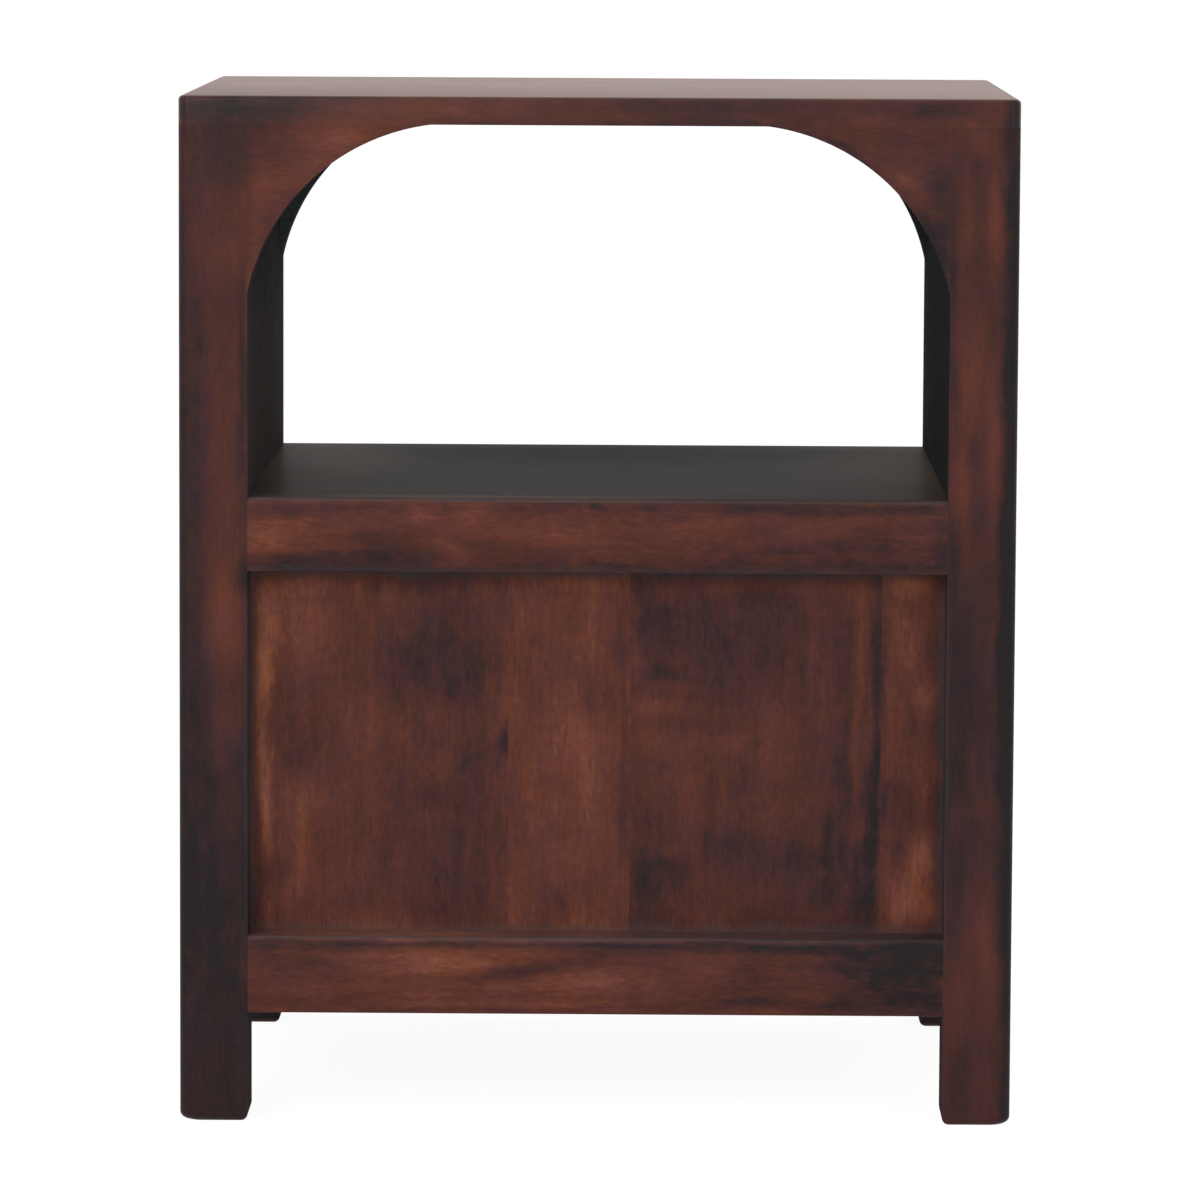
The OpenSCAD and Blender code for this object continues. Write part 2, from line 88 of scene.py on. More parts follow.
# Painted haze: grey mixed into shaded recesses and corners, standing in for the reflected light that the
# shade there takes away
HAZE_GREY = (0.08, 0.061, 0.062, 1)
# Open pores show darker through the stain
PORE_SHADE = (0.4, 0.35, 0.35, 1)
PORE_SHARE = 0.4
# The haze on the waxed top, and how dull the polish on the shelf is
SHEEN_TINT = (1.0, 0.62, 0.45, 1.0)
COAT_ROUGHNESS = 0.28
# How far the grain wanders, and how deep it stands in the surface
WANDER = 7 * MM
GRAIN_DEPTH = 0.4 * MM
GRAIN_STRENGTH = 0.22
# Growth rings to the metre, and by how many of them they wave
RINGS = 150
RING_WAVES = 9


class Wire:
    """A socket in a material. Sums of wires and numbers add the nodes that work them out."""

    def __init__(self, tree, socket=None):
        self.tree = tree
        self.socket = socket

    def node(self, kind, settings=None, feeds=None, output=0):
        """Adds a node, sets it up, feeds its sockets, and gives one of its outputs."""
        made = self.tree.nodes.new(kind)
        for name, value in (settings or {}).items():
            if name == "stops":
                ramp = made.color_ramp.elements
                for position, _ in value[1:-1]:
                    ramp.new(position)
                for element, (position, colour) in zip(ramp, value):
                    element.position = position
                    element.color = (*colour, 1)
            else:
                setattr(made, name, value)
        for name, value in (feeds or {}).items():
            if isinstance(value, Wire):
                self.tree.links.new(value.socket, made.inputs[name])
            else:
                made.inputs[name].default_value = value
        return Wire(self.tree, made.outputs[output])

    def __add__(self, other):
        return self.node("ShaderNodeMath", {"operation": "ADD"}, {0: self, 1: other})

    def __sub__(self, other):
        return self.node("ShaderNodeMath", {"operation": "SUBTRACT"}, {0: self, 1: other})

    def __rsub__(self, other):
        return self.node("ShaderNodeMath", {"operation": "SUBTRACT"}, {0: other, 1: self})

    def __mul__(self, other):
        return self.node("ShaderNodeMath", {"operation": "MULTIPLY"}, {0: self, 1: other})

    __radd__ = __add__
    __rmul__ = __mul__

    def between(self, start, end):
        """0 up to start, 1 from end on, and an eased step in the middle. Start may be the larger."""
        return self.node(
            "ShaderNodeMapRange",
            {"interpolation_type": "SMOOTHSTEP"},
            {"Value": self, "From Min": start, "From Max": end, "To Min": 0.0, "To Max": 1.0},
        )


def noise(place, along, across_count, along_count, detail, output=0):
    """Noise with so many patches to the metre across the grain and along it."""
    counts = [along_count if axis == along else across_count for axis in "xyz"]
    stretched = place.node("ShaderNodeMapping", {}, {"Vector": place, "Scale": counts})
    settings = {"Vector": stretched, "Scale": 1.0, "Detail": detail, "Roughness": 0.55}
    return place.node("ShaderNodeTexNoise", {}, settings, output)


def wood(name, along, tone, marks=(), colours=STAIN, mottled=1.0, grainy=1.0, figure=0.0,
         gloss=0.55, shine=0.14, bloom=0.0, polish=0.0, buffed=(), painted_haze=()):
    """Stained wood. Marks are places where stain, painted highlight and painted shade make the tone lighter
    or darker: centre, half sizes, turn and change of tone.
    """
    material = bpy.data.materials.new(name)
    material.use_nodes = True
    tree = material.node_tree
    shader = tree.nodes["Principled BSDF"]
    place = Wire(tree).node("ShaderNodeTexCoord", output="Object")

    drift = noise(place, along, 60, 30, 2, output=1)
    drift = drift.node("ShaderNodeVectorMath", {"operation": "SUBTRACT"}, {0: drift, 1: (0.5, 0.5, 0.5)})
    bent = place.node(
        "ShaderNodeVectorMath", {"operation": "MULTIPLY_ADD"}, {0: drift, 1: (WANDER,) * 3, 2: place}
    )
    cloud = noise(place, along, 24, 12, 2)
    mottle = noise(bent, along, 95, 55, 3)
    speckle = noise(place, along, 380, 190, 2)
    streak = noise(bent, along, 200, 10, 3)
    fibre = noise(place, along, 800, 30, 2)
    flecks = noise(place, along, 620, 110, 1).between(0.56, 0.70)
    pores = noise(place, along, 1700, 70, 1).between(0.60, 0.74)

    # How far the stain lets the wood through at a place, from 0 to LIGHTEST
    depth = tone + (cloud - 0.5) * (0.25 * mottled) + (mottle - 0.5) * (0.35 * mottled)
    depth = depth + (speckle - 0.5) * (0.42 * mottled) + (streak - 0.5) * (0.28 * grainy)
    depth = depth + (fibre - 0.5) * (0.12 * grainy) + flecks * (0.06 * grainy)
    if figure:
        # Growth rings, cut flat and bent by the grain
        across = next(axis for axis in "zyx" if axis != along)
        distance = bent.node("ShaderNodeSeparateXYZ", {}, {0: bent}, output=across.upper())
        rings = distance * RINGS + noise(place, along, 14, 6, 1) * RING_WAVES
        rings = rings.node("ShaderNodeMath", {"operation": "PINGPONG"}, {0: rings, 1: 1.0})
        depth = depth - rings.between(0.55, 1.0) * figure
    # Marks end in a ragged edge that follows the grain
    feather = (mottle - 0.5) * (0.9 * mottled) + (streak - 0.5) * (0.5 * mottled)

    def share(marks):
        """How far the marks reach a place, summed up."""
        total = 0.0
        for centre, half, turn, change in marks:
            away = bent.node(
                "ShaderNodeMapping",
                {"vector_type": "TEXTURE"},
                {"Vector": bent, "Location": centre, "Rotation": (0, math.radians(turn), 0), "Scale": half},
            )
            away = away.node("ShaderNodeVectorMath", {"operation": "LENGTH"}, {0: away}, output="Value")
            total = total + (away + feather).between(1.7, 0.1) * change
        return total

    depth = depth + share(marks)
    stops = [(position / LIGHTEST, colour) for position, colour in colours]
    colour = depth.node("ShaderNodeValToRGB", {"stops": stops}, {"Fac": depth * (1 / LIGHTEST)})
    hue = noise(bent, along, 60, 30, 3).between(0.38, 0.62)
    tint = hue.node("ShaderNodeValToRGB", {"stops": COOL_TO_WARM}, {"Fac": hue})
    multiply = {"data_type": "RGBA", "blend_type": "MULTIPLY"}
    colour = colour.node("ShaderNodeMix", multiply, {0: 1.0, 6: colour, 7: tint}, output=2)
    # Grey painted haze mixed in at the shaded corners that the haze marks reach
    if painted_haze:
        cover = {"data_type": "RGBA", "blend_type": "MIX"}
        colour = colour.node("ShaderNodeMix", cover, {0: share(painted_haze), 6: colour, 7: HAZE_GREY}, output=2)
    colour = colour.node(
        "ShaderNodeMix", multiply, {0: pores * PORE_SHARE, 6: colour, 7: PORE_SHADE}, output=2
    )
    tree.links.new(colour.socket, shader.inputs["Base Color"])
    rough = gloss + (cloud - 0.5) * 0.06 + (fibre - 0.5) * 0.12
    tree.links.new(rough.socket, shader.inputs["Roughness"])
    relief = fibre * 0.5 - pores + cloud * 3
    bump = relief.node(
        "ShaderNodeBump", {}, {"Strength": GRAIN_STRENGTH, "Distance": GRAIN_DEPTH, "Height": relief}
    )
    tree.links.new(bump.socket, shader.inputs["Normal"])
    shader.inputs["Specular IOR Level"].default_value = shine
    shader.inputs["Sheen Weight"].default_value = bloom
    shader.inputs["Sheen Tint"].default_value = SHEEN_TINT
    if buffed:
        tree.links.new((share(buffed) * polish + polish).socket, shader.inputs["Coat Weight"])
    else:
        shader.inputs["Coat Weight"].default_value = polish
    shader.inputs["Coat Roughness"].default_value = COAT_ROUGHNESS
    return material


def on_rear(face_y, rows, reach=25):
    """Marks on a rear face: x, z, half width and half height in millimetres, change, and turn in degrees."""
    marks = []
    for x, z, across, up, change, *turn in rows:
        marks.append(((x * MM, face_y, z * MM), (across * MM, reach * MM, up * MM), sum(turn), change))
    return marks


def sawn(low, high):
    """A block of wood between two corners."""
    blank = bmesh.new()
    bmesh.ops.create_cube(blank, size=1)
    bmesh.ops.scale(blank, vec=high - low, verts=blank.verts)
    bmesh.ops.translate(blank, vec=(low + high) / 2, verts=blank.verts)
    return blank


def ease(blank, radius, steps, chosen):
    """Rounds the edges that chosen() picks by their middle and their direction."""
    edges = []
    for edge in blank.edges:
        a, b = (v.co for v in edge.verts)
        if chosen((a + b) / 2, (b - a).normalized()):
            edges.append(edge)
    bmesh.ops.bevel(
        blank, geom=edges, offset=radius, offset_type="OFFSET", segments=steps,
        profile=0.5, affect="EDGES", material=-1, clamp_overlap=True,
    )


def same(a, b):
    """Whether two lengths differ by less than a hair."""
    return abs(a - b) < TOUCH


def outer(low, high):
    """Of a piece's two ends along an axis, the one farther from the middle of the case."""
    return max(low, high, key=abs)


# Painted shade: near-black for the faces inside the open shelf and under the case, where shade falls
INNER_SHADE = [(0.0, (0.012, 0.013, 0.016)), (0.5, (0.036, 0.032, 0.033)), (1.0, (0.070, 0.052, 0.048))]

# The painted shade is deepest near the top, under the top board, and lighter lower down
inner_shade_marks = [
    ((-0.19, 0, 0.47), (0.12, 0.4, 0.14), 0, -0.60), ((0.19, 0, 0.42), (0.12, 0.4, 0.2), 0, 0.35),
    ((0.19, 0, 0.52), (0.12, 0.4, 0.085), 0, -0.75), ((-0.20, -0.12, 0.02), (0.05, 0.06, 0.05), 0, 0.40),
]
inner_painted_shade = wood("inner_painted_shade", "z", 0.45, inner_shade_marks, colours=INNER_SHADE, gloss=0.95, shine=0.02)


def finished(blank, name, *stains, body="case", slot="frame_wood", pick=lambda way, at: 0):
    """Turns a blank into a piece inside its CAD box. pick() numbers a face's stain by its way and middle."""
    low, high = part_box(name)
    for vertex in blank.verts:
        vertex.co = [min(max(at, least), most) for at, least, most in zip(vertex.co, low, high)]
    mesh = bpy.data.meshes.new(name)
    bmesh.ops.recalc_face_normals(blank, faces=blank.faces)
    blank.to_mesh(mesh)
    blank.free()
    for stain in stains:
        mesh.materials.append(stain)
    for face in mesh.polygons:
        face.use_smooth = True
        face.material_index = int(pick(face.normal, face.center))
    mesh.set_sharp_from_angle(angle=math.radians(CREASE))
    piece = bpy.data.objects.new("dressed_" + name, mesh)
    bpy.context.scene.collection.objects.link(piece)
    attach(piece, body)
    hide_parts(name)


leg_box = {name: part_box(name) for name in nodes if name.startswith("leg_")}
rear_y = leg_box["leg_rear_left"][1].y
inner_rear_y = leg_box["leg_rear_left"][0].y
inner_front_y = leg_box["leg_front_left"][1].y
inner_x = leg_box["leg_rear_right"][0].x

# Where the colour varies across a rear corner of the case, over the leg, the bracket and the top board: stain
# and tone, painted highlights, and painted shade along the arch's edge
corner_marks = {
    "right": on_rear(rear_y, [
        (200, 526, 15, 24, -0.22), (212, 538, 10, 12, -0.08), (188, 549, 30, 8, -0.25),
        (182, 538, 12, 6, -0.08), (145, 526, 16, 9, 0.26), (151, 537, 14, 8, 0.22), (131, 534, 12, 7, 0.30),
        (158, 514, 12, 9, 0.20), (178, 504, 11, 12, 0.24), (174, 528, 12, 5, 0.08), (183, 479, 4, 14, 0.16),
        (185, 496, 3, 8, -0.06), (108, 538, 16, 3, 0.14), (198, 468, 9, 13, 0.14), (140, 554, 34, 3, -0.14),
        (130, 547, 10, 4, 0.10), (216, 498, 5, 14, -0.12), (194, 495, 6, 8, 0.10), (186, 442, 4, 18, 0.30),
        (207, 505, 4, 6, 0.10),
    ]),
    "left": on_rear(rear_y, [
        (-167, 518, 10, 10, 0.12), (-184, 498, 10, 16, -0.20), (-183, 471, 8, 17, -0.40),
        (-175, 485, 11, 3.5, -0.32, -60), (-145, 525, 6, 4, 0.10), (-155, 517, 6, 4, 0.16),
        (-163, 511, 6, 5, 0.26), (-181, 515, 6, 6, -0.06), (-105, 536, 26, 2, -0.28, -14),
        (-135, 525, 16, 2, -0.24, -34), (-204, 533, 6, 8, 0.16), (-160, 549, 20, 5, -0.14),
        (-184, 548, 12, 7, -0.22), (-101, 547, 24, 9, -0.18), (-147, 541, 8, 3, 0.04),
        (-195, 486, 8, 14, 0.14), (-189, 446, 3, 20, -0.16), (-202, 498, 8, 10, -0.10),
        (-172, 504, 5, 5, 0.20), (-204, 544, 5, 4, -0.12), (-190, 466, 4, 12, 0.14),
        (-194, 541, 12, 7, 0.12), (-196, 518, 20, 7, -0.08),
    ]),
}
# The rear legs' marks: grain and tone, the corner's painted highlights and painted shade, painted shade down
# the inner edge beside the back panel, and darker rounded outer corners in the rows with the short reach
leg_marks = {
    "leg_rear_right": corner_marks["right"] + on_rear(rear_y, [
        (206, 300, 10, 60, 0.06), (203, 274, 8, 24, 0.20), (197, 258, 8, 40, 0.08),
        (205, 440, 20, 20, -0.10), (191, 400, 3, 70, -0.28), (191, 296, 5, 9, -0.36),
        (212, 330, 6, 40, -0.18), (212, 400, 6, 30, -0.16), (212, 250, 8, 36, -0.20),
        (201, 212, 6, 22, 0.14), (193, 222, 4, 16, 0.10), (190, 92, 3, 16, 0.24), (205, 40, 40, 90, -0.36),
        (205, 145, 40, 60, -0.28), (200, 215, 20, 30, -0.12), (196, 240, 6, 14, -0.10),
        (212, 180, 8, 24, -0.12), (188, 200, 2.5, 110, -0.34),
    ]) + on_rear(rear_y, [(222, 320, 8, 190, -0.26), (226, 280, 4, 320, -0.18)], reach=14),
    "leg_rear_left": corner_marks["left"] + on_rear(rear_y, [
        (-211, 490, 4, 28, 0.30), (-218, 517, 3, 6, 0.20), (-219, 534, 2.5, 8, -0.16),
        (-195, 505, 5, 16, 0.12), (-190, 458, 4, 14, -0.14), (-211, 434, 4, 16, -0.14),
        (-200, 405, 8, 30, 0.24), (-190, 408, 3, 16, -0.20), (-212, 374, 4, 40, 0.26),
        (-196, 350, 5, 20, 0.26), (-201, 368, 4, 7, -0.16), (-206, 330, 10, 10, -0.04),
        (-189, 308, 4, 20, -0.28), (-194, 236, 14, 56, -0.22), (-194, 192, 5, 14, -0.14),
        (-203, 200, 4, 12, 0.16), (-205, 268, 4, 14, 0.06), (-194, 140, 6, 18, -0.16),
        (-205, 112, 5, 30, 0.12), (-196, 72, 6, 20, 0.12), (-212, 100, 4, 34, 0.20),
        (-211, 18, 7, 14, 0.10), (-197, 30, 6, 12, -0.16), (-206, 15, 22, 24, -0.08),
        (-213, 252, 4, 18, 0.12), (-206, 464, 12, 24, -0.08), (-206, 246, 22, 80, -0.12),
        (-206, 140, 14, 26, -0.10), (-192, 104, 6, 22, -0.14), (-188, 175, 3, 26, -0.26),
    ]) + on_rear(rear_y, [
        (-225, 470, 6, 80, -0.48), (-225, 240, 7, 150, -0.42), (-225, 50, 7, 90, -0.40),
        (-219, 340, 4, 120, -0.30), (-218, 230, 5, 60, -0.16), (-219, 505, 4, 50, -0.14),
    ], reach=14),
}
leg_tone = dict.fromkeys(leg_box, 0.45) | {"leg_rear_left": 0.40}
rail_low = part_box("bottom_rail_rear")[0].z
shelf_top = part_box("shelf_board")[1].z
for name, (low, high) in leg_box.items():
    outer_x = outer(low.x, high.x)
    outer_y = outer(low.y, high.y)
    leg = sawn(low, high)
    ease(leg, FOOT_EASING, 6, lambda at, way: same(at.z, low.z))
    near = FOOT_EASING + TOUCH
    ease(
        leg, LEG_CORNER, 8,
        lambda at, way: abs(at.x - outer_x) < near and abs(at.y - outer_y) < near
        and not same(abs(way.x), 1) and not same(abs(way.y), 1) and not same(at.z, low.z),
    )
    for level in (rail_low, shelf_top):
        whole = leg.verts[:] + leg.edges[:] + leg.faces[:]
        bmesh.ops.bisect_plane(leg, geom=whole, dist=TOUCH, plane_co=(0, 0, level), plane_no=(0, 0, 1))
    # Grey painted haze on the legs' faces in the shaded recess beside the back panel
    recess = [(math.copysign(188, outer_x), 200, 2.5, 110, 0.42)]
    painted_haze = on_rear((inner_rear_y + rear_y) / 2, recess, reach=20) if outer_y > 0 else ()
    marks = leg_marks.get(name, ())
    stain = wood(name + "_stain", "z", leg_tone[name], marks, mottled=0.5, grainy=0.6, painted_haze=painted_haze)

    def inside(way, at):
        """1 for the faces that look into the open shelf or under the case, and 0 for all others."""
        across = way.x * math.copysign(1, outer_x) < -FACING
        under = at.z < rail_low and way.y * math.copysign(1, outer_y) < -FACING
        return (across or under) and not rail_low < at.z < shelf_top

    # The faces inside the open shelf and under the case get the near-black painted shade
    finished(leg, name, stain, inner_painted_shade, pick=inside)


# The bottom rails tie the legs together just above the floor, and are flush with their outer faces.
# The rear one has a softened top edge, where a narrow ledge stands out below the panel.
# Flat-sawn grain shows in it as long arches.

LEDGE_EASING = 2 * MM
# Dust and a painted highlight lie on the faces of the eased edge between these two slopes, 1 being level
DUST_AND_HIGHLIGHT_FROM = 0.3
DUST_AND_HIGHLIGHT_TO = 0.95

DUST_AND_HIGHLIGHT = [(0.0, (0.040, 0.030, 0.032)), (1.0, (0.085, 0.055, 0.052))]

# Painted highlight on the ledge and on the mid rail's rounded edge, darker towards one end of the ledge
dust_and_highlight_marks = [
    ((0.09, 0.17, 0.10), (0.12, 0.03, 0.02), 0, 0.5), ((-0.15, 0.18, 0.10), (0.06, 0.03, 0.02), 0, -0.6),
    ((0.09, 0.18, 0.34), (0.12, 0.03, 0.02), 0, 0.7),
]
dust_and_highlight = wood("ledge_dust_and_highlight", "x", 0.5, dust_and_highlight_marks, DUST_AND_HIGHLIGHT, gloss=0.9, shine=0.05)
# The middle of the ledge between the panel and the rear face
ledge_y = 176 * MM
# Grey painted haze along the ledge, in the shaded corner under the panel
ledge_haze = on_rear(ledge_y, [(0, 102, 300, 3, 0.45)], reach=14)
# Grain and tone on the rear rail's face, and a painted highlight along the ledge that fades darker towards
# one end
bottom_rail_marks = on_rear(rear_y, [
    (80, 91, 24, 8, 0.26), (118, 87, 26, 8, 0.22), (88, 86, 12, 4, 0.16), (64, 86, 10, 3, 0.26),
    (18, 77, 34, 7, 0.20, 6), (-6, 75, 12, 5, 0.20), (-32, 75, 8, 5, 0.22), (92, 71, 20, 7, 0.22),
    (54, 75, 11, 6, 0.16), (124, 74, 8, 6, 0.14), (150, 69, 10, 5, 0.12), (-14, 79, 24, 6, 0.08),
    (36, 83, 26, 4, -0.34, 12), (1, 90, 11, 4, -0.28, 8), (8, 95, 16, 3, -0.20), (40, 95, 12, 3, 0.16),
    (84, 97, 14, 3, -0.14), (14, 71, 8, 4, 0.12), (146, 86, 28, 2, -0.12, -12), (132, 79, 16, 3, -0.10),
    (15, 65, 110, 2.5, 0.18), (0, 98.5, 190, 1.8, -0.34), (150, 96, 40, 3, -0.26), (-20, 96, 30, 3, -0.20),
    (-75, 96, 40, 3, -0.16), (-58, 83, 12, 7, 0.18), (-90, 74, 26, 5, -0.20), (-100, 90, 34, 7, -0.15),
    (-110, 77, 7, 3, 0.04), (-100, 67, 24, 3, -0.24), (-120, 96, 30, 4, -0.12), (-134, 78, 20, 16, -0.22),
    (-137, 67, 10, 6, -0.20), (-166, 85, 22, 16, -0.34), (-170, 92, 34, 14, -0.26),
    (-164, 78, 18, 8, -0.32), (-147, 69, 8, 4, 0.20), (-172, 66, 24, 6, -0.22), (-187, 80, 7, 14, -0.12),
    (-62, 65, 50, 2.5, -0.24), (180, 95, 10, 6, -0.14), (-160, 65, 30, 2.5, -0.12), (-180, 95, 8, 5, -0.20),
    (-121, 69, 7, 3, 0.16), (20, 98, 10, 2, 0.16), (-74, 90, 6, 4, 0.14),
]) + on_rear(ledge_y, [
    (112, 102, 70, 3, 0.50), (0, 102, 20, 3, 0.30), (-50, 102, 40, 3, -0.14), (-150, 102, 60, 3, -0.30),
], reach=14)


def between_legs(name):
    """The corners of the part of a rail that shows between two legs, without its tenons."""
    low, high = (corner.copy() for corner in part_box(name))
    if high.x - low.x > high.y - low.y:
        low.x, high.x = -inner_x, inner_x
    else:
        low.y, high.y = inner_front_y, inner_rear_y
    return low, high


def long_edge(outer_y, level):
    """Chooses the edge along a front or rear rail that lies on its outer face at this height."""
    return lambda at, way: same(abs(way.x), 1) and same(at.y, outer_y) and same(at.z, level)


for name in ("bottom_rail_rear", "bottom_rail_front"):
    low, high = between_legs(name)
    rail = sawn(low, high)
    outer_y = outer(low.y, high.y)
    ease(rail, LEDGE_EASING, 4, long_edge(outer_y, high.z))
    ease(rail, ARRIS, 2, long_edge(outer_y, low.z))
    marks = bottom_rail_marks if name == "bottom_rail_rear" else ()
    stain = wood(name + "_stain", "x", 0.60, marks, figure=0.08, painted_haze=ledge_haze if marks else ())
    finished(rail, name, stain, dust_and_highlight, pick=lambda way, at: DUST_AND_HIGHLIGHT_FROM < way.z < DUST_AND_HIGHLIGHT_TO)

side_rail_stain = wood("side_rail_stain", "y", 0.46, figure=0.12)
for name in ("bottom_rail_left", "bottom_rail_right"):
    low, high = between_legs(name)
    rail = sawn(low, high)
    outer_x = outer(low.x, high.x)
    ease(rail, ARRIS, 2, lambda at, way: same(abs(way.y), 1) and same(at.x, outer_x))
    finished(rail, name, side_rail_stain)


# The back panel is glued up from four upright staves, each from another board, so the colour jumps
# from one to the next. Its edges sit in grooves in the legs and rails.
# Shade is painted into the corner all round it, as dark bands along its sides and under the rail above, with
# grey painted haze over them; the staves are mottled along their grain.

panel_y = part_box("back_stave_1")[1].y
# Each stave's tone and marks: grain and tone, with painted shade along the panel's edges and under the mid
# rail
stave_marks = {
    "back_stave_4": (0.54, [
        (190.5, 200, 3, 160, -0.42), (189, 115, 4, 24, -0.26), (110, 301, 150, 3, -0.42),
        (154, 291, 24, 6, 0.20), (180, 262, 6, 24, 0.58), (182, 227, 5, 22, 0.50), (180, 191, 6, 21, 0.58),
        (178, 285, 9, 10, 0.24), (178, 112, 3, 14, 0.30), (160, 142, 4, 28, 0.28), (158, 270, 16, 26, 0.30),
        (179, 158, 4, 18, 0.46), (160, 214, 12, 26, -0.10), (158, 176, 16, 14, 0.24),
        (172, 158, 8, 14, 0.12), (183, 128, 4, 16, -0.12), (171, 134, 5, 10, -0.16),
        (173, 268, 3, 10, 0.16), (165, 190, 4, 10, -0.12), (145, 145, 10, 8, -0.10),
        (107, 274, 3, 12, 0.10), (113, 285, 4, 8, 0.26), (120, 289, 5, 6, -0.14), (130, 286, 3, 7, 0.24),
        (122, 200, 5, 40, 0.20), (133, 215, 5, 18, 0.12), (134, 246, 8, 12, -0.08),
        (112, 246, 8, 14, -0.08), (126, 236, 4, 6, -0.10), (86, 252, 26, 26, -0.24),
        (66, 264, 4, 16, -0.12), (77, 228, 5, 14, -0.12), (100, 238, 8, 24, -0.10),
        (85, 150, 36, 46, -0.10), (84, 175, 12, 8, -0.14), (66, 165, 8, 44, -0.14),
        (80, 112, 14, 16, -0.12), (120, 107, 40, 6, 0.18), (112, 103, 34, 3, 0.20), (104, 130, 4, 30, 0.12),
        (49, 207, 3, 8, -0.46), (50, 230, 3, 18, 0.18), (60, 196, 12, 12, -0.06), (67, 240, 4, 20, -0.20),
        (58, 287, 6, 7, 0.22), (50, 108, 10, 9, 0.16), (86, 190, 12, 8, 0.08), (146, 128, 8, 20, 0.06),
        (167, 122, 3, 12, 0.26), (92, 297, 18, 8, -0.22),
    ]),
    "back_stave_3": (0.70, [
        (15, 300, 60, 3, -0.34), (2, 292, 24, 5, 0.16), (68, 289, 6, 7, -0.16), (12, 208, 12, 18, 0.16),
        (4, 180, 7, 18, 0.14), (47, 262, 3, 20, -0.14), (1, 230, 8, 13, -0.18), (33, 224, 5, 8, -0.14),
        (43, 220, 4, 12, 0.08), (20, 124, 18, 11, -0.12), (32, 106, 14, 8, 0.06), (-13, 255, 7, 34, -0.22),
        (3, 272, 3, 24, 0.18), (-16, 180, 4, 44, -0.26), (-15, 158, 4, 12, -0.14), (38, 245, 10, 30, -0.08),
        (30, 288, 16, 10, 0.08), (-13, 140, 3, 10, 0.06), (28, 106, 6, 4, -0.14), (45, 190, 3, 24, -0.10),
        (31, 156, 5, 6, 0.12), (3, 150, 8, 14, 0.08), (5, 105, 16, 5, 0.10), (22, 155, 8, 8, -0.08),
        (45, 110, 4, 8, 0.14), (48, 170, 5, 18, -0.12), (20, 114, 4, 9, -0.16), (-6, 134, 3, 12, -0.16),
    ]),
    "back_stave_2": (0.46, [
        (-86, 300, 80, 3, -0.42), (-37, 286, 7, 6, 0.30), (-22, 292, 4, 10, -0.26), (-66, 289, 8, 6, 0.22),
        (-100, 291, 40, 4, 0.14), (-139, 288, 8, 8, 0.20), (-33, 272, 8, 24, -0.24), (-23, 251, 4, 9, 0.20),
        (-66, 262, 36, 28, -0.12), (-100, 268, 16, 26, -0.10), (-34, 242, 7, 4, -0.28),
        (-49, 264, 3, 22, -0.16), (-44, 235, 6, 4, 0.18), (-66, 236, 4, 9, -0.20), (-27, 220, 7, 14, 0.18),
        (-37, 225, 16, 4, 0.18), (-52, 230, 5, 5, -0.12), (-44, 205, 22, 7, 0.18), (-76, 205, 7, 6, 0.18),
        (-85, 204, 5, 5, -0.16), (-36, 190, 14, 14, 0.12), (-50, 172, 6, 26, 0.22), (-82, 184, 6, 8, -0.12),
        (-98, 212, 14, 20, 0.14), (-26, 120, 7, 30, -0.26), (-40, 146, 6, 4, 0.22),
        (-37, 136, 15, 13, -0.24), (-28, 160, 10, 7, -0.08), (-72, 150, 16, 8, -0.20),
        (-62, 108, 14, 8, 0.16), (-58, 130, 6, 8, 0.10), (-88, 136, 8, 10, -0.08),
        (-106, 144, 8, 16, -0.20), (-96, 157, 3, 12, 0.16), (-110, 166, 5, 12, 0.14),
        (-125, 152, 5, 18, -0.34), (-124, 124, 8, 9, -0.28), (-118, 140, 5, 8, -0.20),
        (-134, 186, 4, 22, -0.36), (-140, 122, 5, 24, -0.26), (-134, 148, 3, 12, -0.30),
        (-139, 205, 3, 20, 0.16), (-134, 252, 4, 34, -0.16), (-145, 200, 3, 12, 0.14),
        (-124, 215, 4, 30, 0.06), (-142, 240, 2, 26, 0.10), (-143, 272, 4, 26, 0.16),
        (-152, 250, 3, 60, -0.34), (-151, 284, 3, 9, 0.28), (-149, 170, 4, 34, -0.44),
        (-151, 158, 4, 14, -0.14), (-147, 118, 5, 30, -0.26), (-118, 252, 3, 10, 0.18),
        (-115, 289, 8, 8, 0.12), (-136, 104, 14, 3, -0.14), (-120, 219, 3, 5, 0.16),
    ]),
    "back_stave_1": (0.62, [
        (-170, 301, 30, 3, -0.30), (-169, 293, 13, 7, 0.46), (-182, 250, 3, 14, -0.12),
        (-169, 258, 8, 16, 0.24), (-163, 277, 4, 12, 0.12), (-155, 240, 2, 30, -0.30),
        (-165, 244, 4, 7, -0.06), (-180, 233, 7, 12, 0.24), (-170, 214, 4, 14, -0.16),
        (-185, 212, 3, 14, -0.12), (-160, 132, 3, 10, 0.08), (-168, 172, 9, 18, -0.24),
        (-184, 172, 5, 16, -0.20), (-177, 176, 3, 12, 0.18), (-155, 165, 3, 22, -0.20),
        (-170, 190, 10, 6, 0.10), (-176, 141, 8, 14, 0.36), (-164, 147, 5, 6, -0.20),
        (-168, 120, 9, 13, 0.36), (-163, 111, 4, 7, 0.20), (-181, 116, 8, 9, 0.28),
        (-179, 150, 4, 10, 0.14), (-190, 190, 5, 120, -0.54), (-157, 180, 3, 8, -0.16),
    ]),
}
corner_haze = on_rear(panel_y, [
    (188, 200, 3, 400, 0.42), (-188, 200, 3.5, 400, 0.42), (0, 301, 600, 5, 0.60), (0, 102, 600, 4, 0.34),
])
for name, (tone, rows) in stave_marks.items():
    stave_stain = wood(name + "_stain", "z", tone, on_rear(panel_y, rows), painted_haze=corner_haze)
    nodes[name].material_slots[0].material = stave_stain


